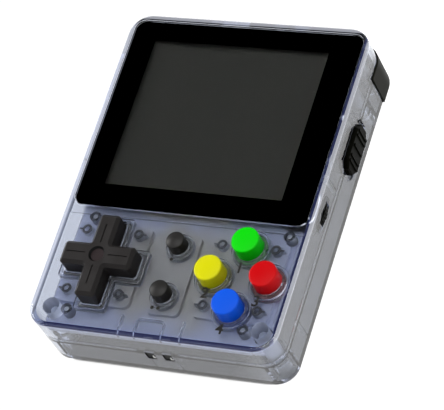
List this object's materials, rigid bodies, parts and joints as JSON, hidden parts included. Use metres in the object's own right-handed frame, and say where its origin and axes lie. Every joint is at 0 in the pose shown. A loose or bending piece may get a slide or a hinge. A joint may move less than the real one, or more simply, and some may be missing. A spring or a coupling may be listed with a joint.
{
  "type": "handheld game console",
  "caption": "Pocket game console in a clear case with a black-framed screen, direction pad, round coloured buttons, corner shoulder buttons, power slide switch and volume wheel.",
  "frame": {"origin": "centre of the back of the case, on the surface that it lies on", "axes": "+Z out of the face, +Y to the top edge above the screen, +X to the player's right"},
  "size_m": [0.0717, 0.0958, 0.0239],
  "materials": {
    "clear_shell": "clear tinted, polished",
    "screen_black": "polished, printed black from behind",
    "black_tape": "matt",
    "black_foam": "matt foam",
    "lcd_glass": "dark, switched off",
    "white_tray": "matt white",
    "ribbon_film": "amber film",
    "board": "lacquered board",
    "steel": "plain steel",
    "spring_brass": "plated strip",
    "black_key": "satin",
    "green_key": "satin gloss",
    "blue_key": "satin gloss",
    "yellow_key": "satin gloss",
    "red_key": "satin gloss",
    "smoke_key": "smoked olive grey, satin",
    "grey_rubber": "translucent silicone",
    "chip_black": "moulded",
    "battery_wrap": "printed wrap",
    "speaker_black": "matt"
  },
  "bodies": {
    "console": {"front_shell": "clear_shell", "rear_shell": "clear_shell", "battery": "battery_wrap", "terminal_block": "chip_black", "terminal_springs": "spring_brass", "screen_lens": "screen_black", "lens_tape": "black_tape", "lcd_gasket": "black_foam", "lcd_panel": "lcd_glass", "lcd_backlight": "white_tray", "lcd_foam": "black_foam", "lcd_ribbon": "ribbon_film", "lcd_connector": "white_tray", "main_board": "board", "case_screws": "steel", "board_screws": "steel", "dpad_membrane": "grey_rubber", "action_membrane": "grey_rubber", "menu_membrane": "grey_rubber", "power_switch_body": "steel", "volume_pot": "chip_black", "usb_socket": "steel", "usb_tongue": "chip_black", "earphone_jack": "chip_black", "card_socket": "steel", "contact_blocks": "chip_black", "contact_tongues": "steel", "speaker": "speaker_black", "speaker_foam": "black_foam", "processor": "chip_black", "memory_chip": "chip_black", "crystal": "steel", "capacitors": "chip_black", "left_shoulder_pin": "steel", "right_shoulder_pin": "steel", "left_shoulder_switch": "chip_black", "right_shoulder_switch": "chip_black"},
    "dpad_pivot": {"dpad_pivot": "steel"},
    "dpad": {"dpad": "black_key"},
    "upper_button": {"upper_button": "green_key"},
    "lower_button": {"lower_button": "blue_key"},
    "left_button": {"left_button": "yellow_key"},
    "right_button": {"right_button": "red_key"},
    "menu_button_1": {"menu_button_1": "black_key"},
    "menu_button_2": {"menu_button_2": "black_key"},
    "left_shoulder": {"left_shoulder": "smoke_key", "left_plunger": "white_tray"},
    "right_shoulder": {"right_shoulder": "smoke_key", "right_plunger": "white_tray"},
    "power_switch": {"power_knob": "smoke_key", "power_lever": "chip_black"},
    "volume_wheel": {"volume_wheel": "black_key"},
    "battery_cover": {"battery_cover": "clear_shell"}
  },
  "joints": [
    {"name": "dpad_rock_up_down", "type": "hinge", "parent": "console", "child": "dpad_pivot", "pos_m": [-0.0187, -0.02805, 0.016], "axis": [1, 0, 0], "range_deg": [-3, 3], "stiffness_Nm_per_rad": 0.23, "deforming": ["dpad_membrane"]},
    {"name": "dpad_rock_left_right", "type": "hinge", "parent": "dpad_pivot", "child": "dpad", "pos_m": [-0.0187, -0.02805, 0.016], "axis": [0, 1, 0], "range_deg": [-3, 3], "stiffness_Nm_per_rad": 0.23, "deforming": ["dpad_membrane"]},
    {"name": "upper_button_press", "type": "slide", "parent": "console", "child": "upper_button", "axis": [0, 0, -1], "range_m": [0, 0.0012], "stiffness_N_per_m": 900, "deforming": ["action_membrane"]},
    {"name": "lower_button_press", "type": "slide", "parent": "console", "child": "lower_button", "axis": [0, 0, -1], "range_m": [0, 0.0012], "stiffness_N_per_m": 900, "deforming": ["action_membrane"]},
    {"name": "left_button_press", "type": "slide", "parent": "console", "child": "left_button", "axis": [0, 0, -1], "range_m": [0, 0.0012], "stiffness_N_per_m": 900, "deforming": ["action_membrane"]},
    {"name": "right_button_press", "type": "slide", "parent": "console", "child": "right_button", "axis": [0, 0, -1], "range_m": [0, 0.0012], "stiffness_N_per_m": 900, "deforming": ["action_membrane"]},
    {"name": "menu_button_1_press", "type": "slide", "parent": "console", "child": "menu_button_1", "axis": [0, 0, -1], "range_m": [0, 0.0008], "stiffness_N_per_m": 1100, "deforming": ["menu_membrane"]},
    {"name": "menu_button_2_press", "type": "slide", "parent": "console", "child": "menu_button_2", "axis": [0, 0, -1], "range_m": [0, 0.0008], "stiffness_N_per_m": 1100, "deforming": ["menu_membrane"]},
    {"name": "left_shoulder_press", "type": "hinge", "parent": "console", "child": "left_shoulder", "pos_m": [-0.0306, 0.04015, 0.006], "axis": [0, 0, -1], "range_deg": [0, 2.5], "stiffness_Nm_per_rad": 0.4, "springref_deg": -1.15},
    {"name": "right_shoulder_press", "type": "hinge", "parent": "console", "child": "right_shoulder", "pos_m": [0.0306, 0.04015, 0.006], "axis": [0, 0, 1], "range_deg": [0, 2.5], "stiffness_Nm_per_rad": 0.4, "springref_deg": -1.15},
    {"name": "power_switch_slide", "type": "slide", "parent": "console", "child": "power_switch", "axis": [0, 1, 0], "range_m": [-0.0011, 0.0011]},
    {"name": "volume_wheel_turn", "type": "hinge", "parent": "console", "child": "volume_wheel", "pos_m": [0.029, -0.0052, 0.0143], "axis": [0, 0, 1], "range_deg": [-135, 135]},
    {"name": "battery_cover_off", "type": "slide", "parent": "console", "child": "battery_cover", "axis": [0, 0, -1], "range_m": [0, 0.02]}
  ]
}
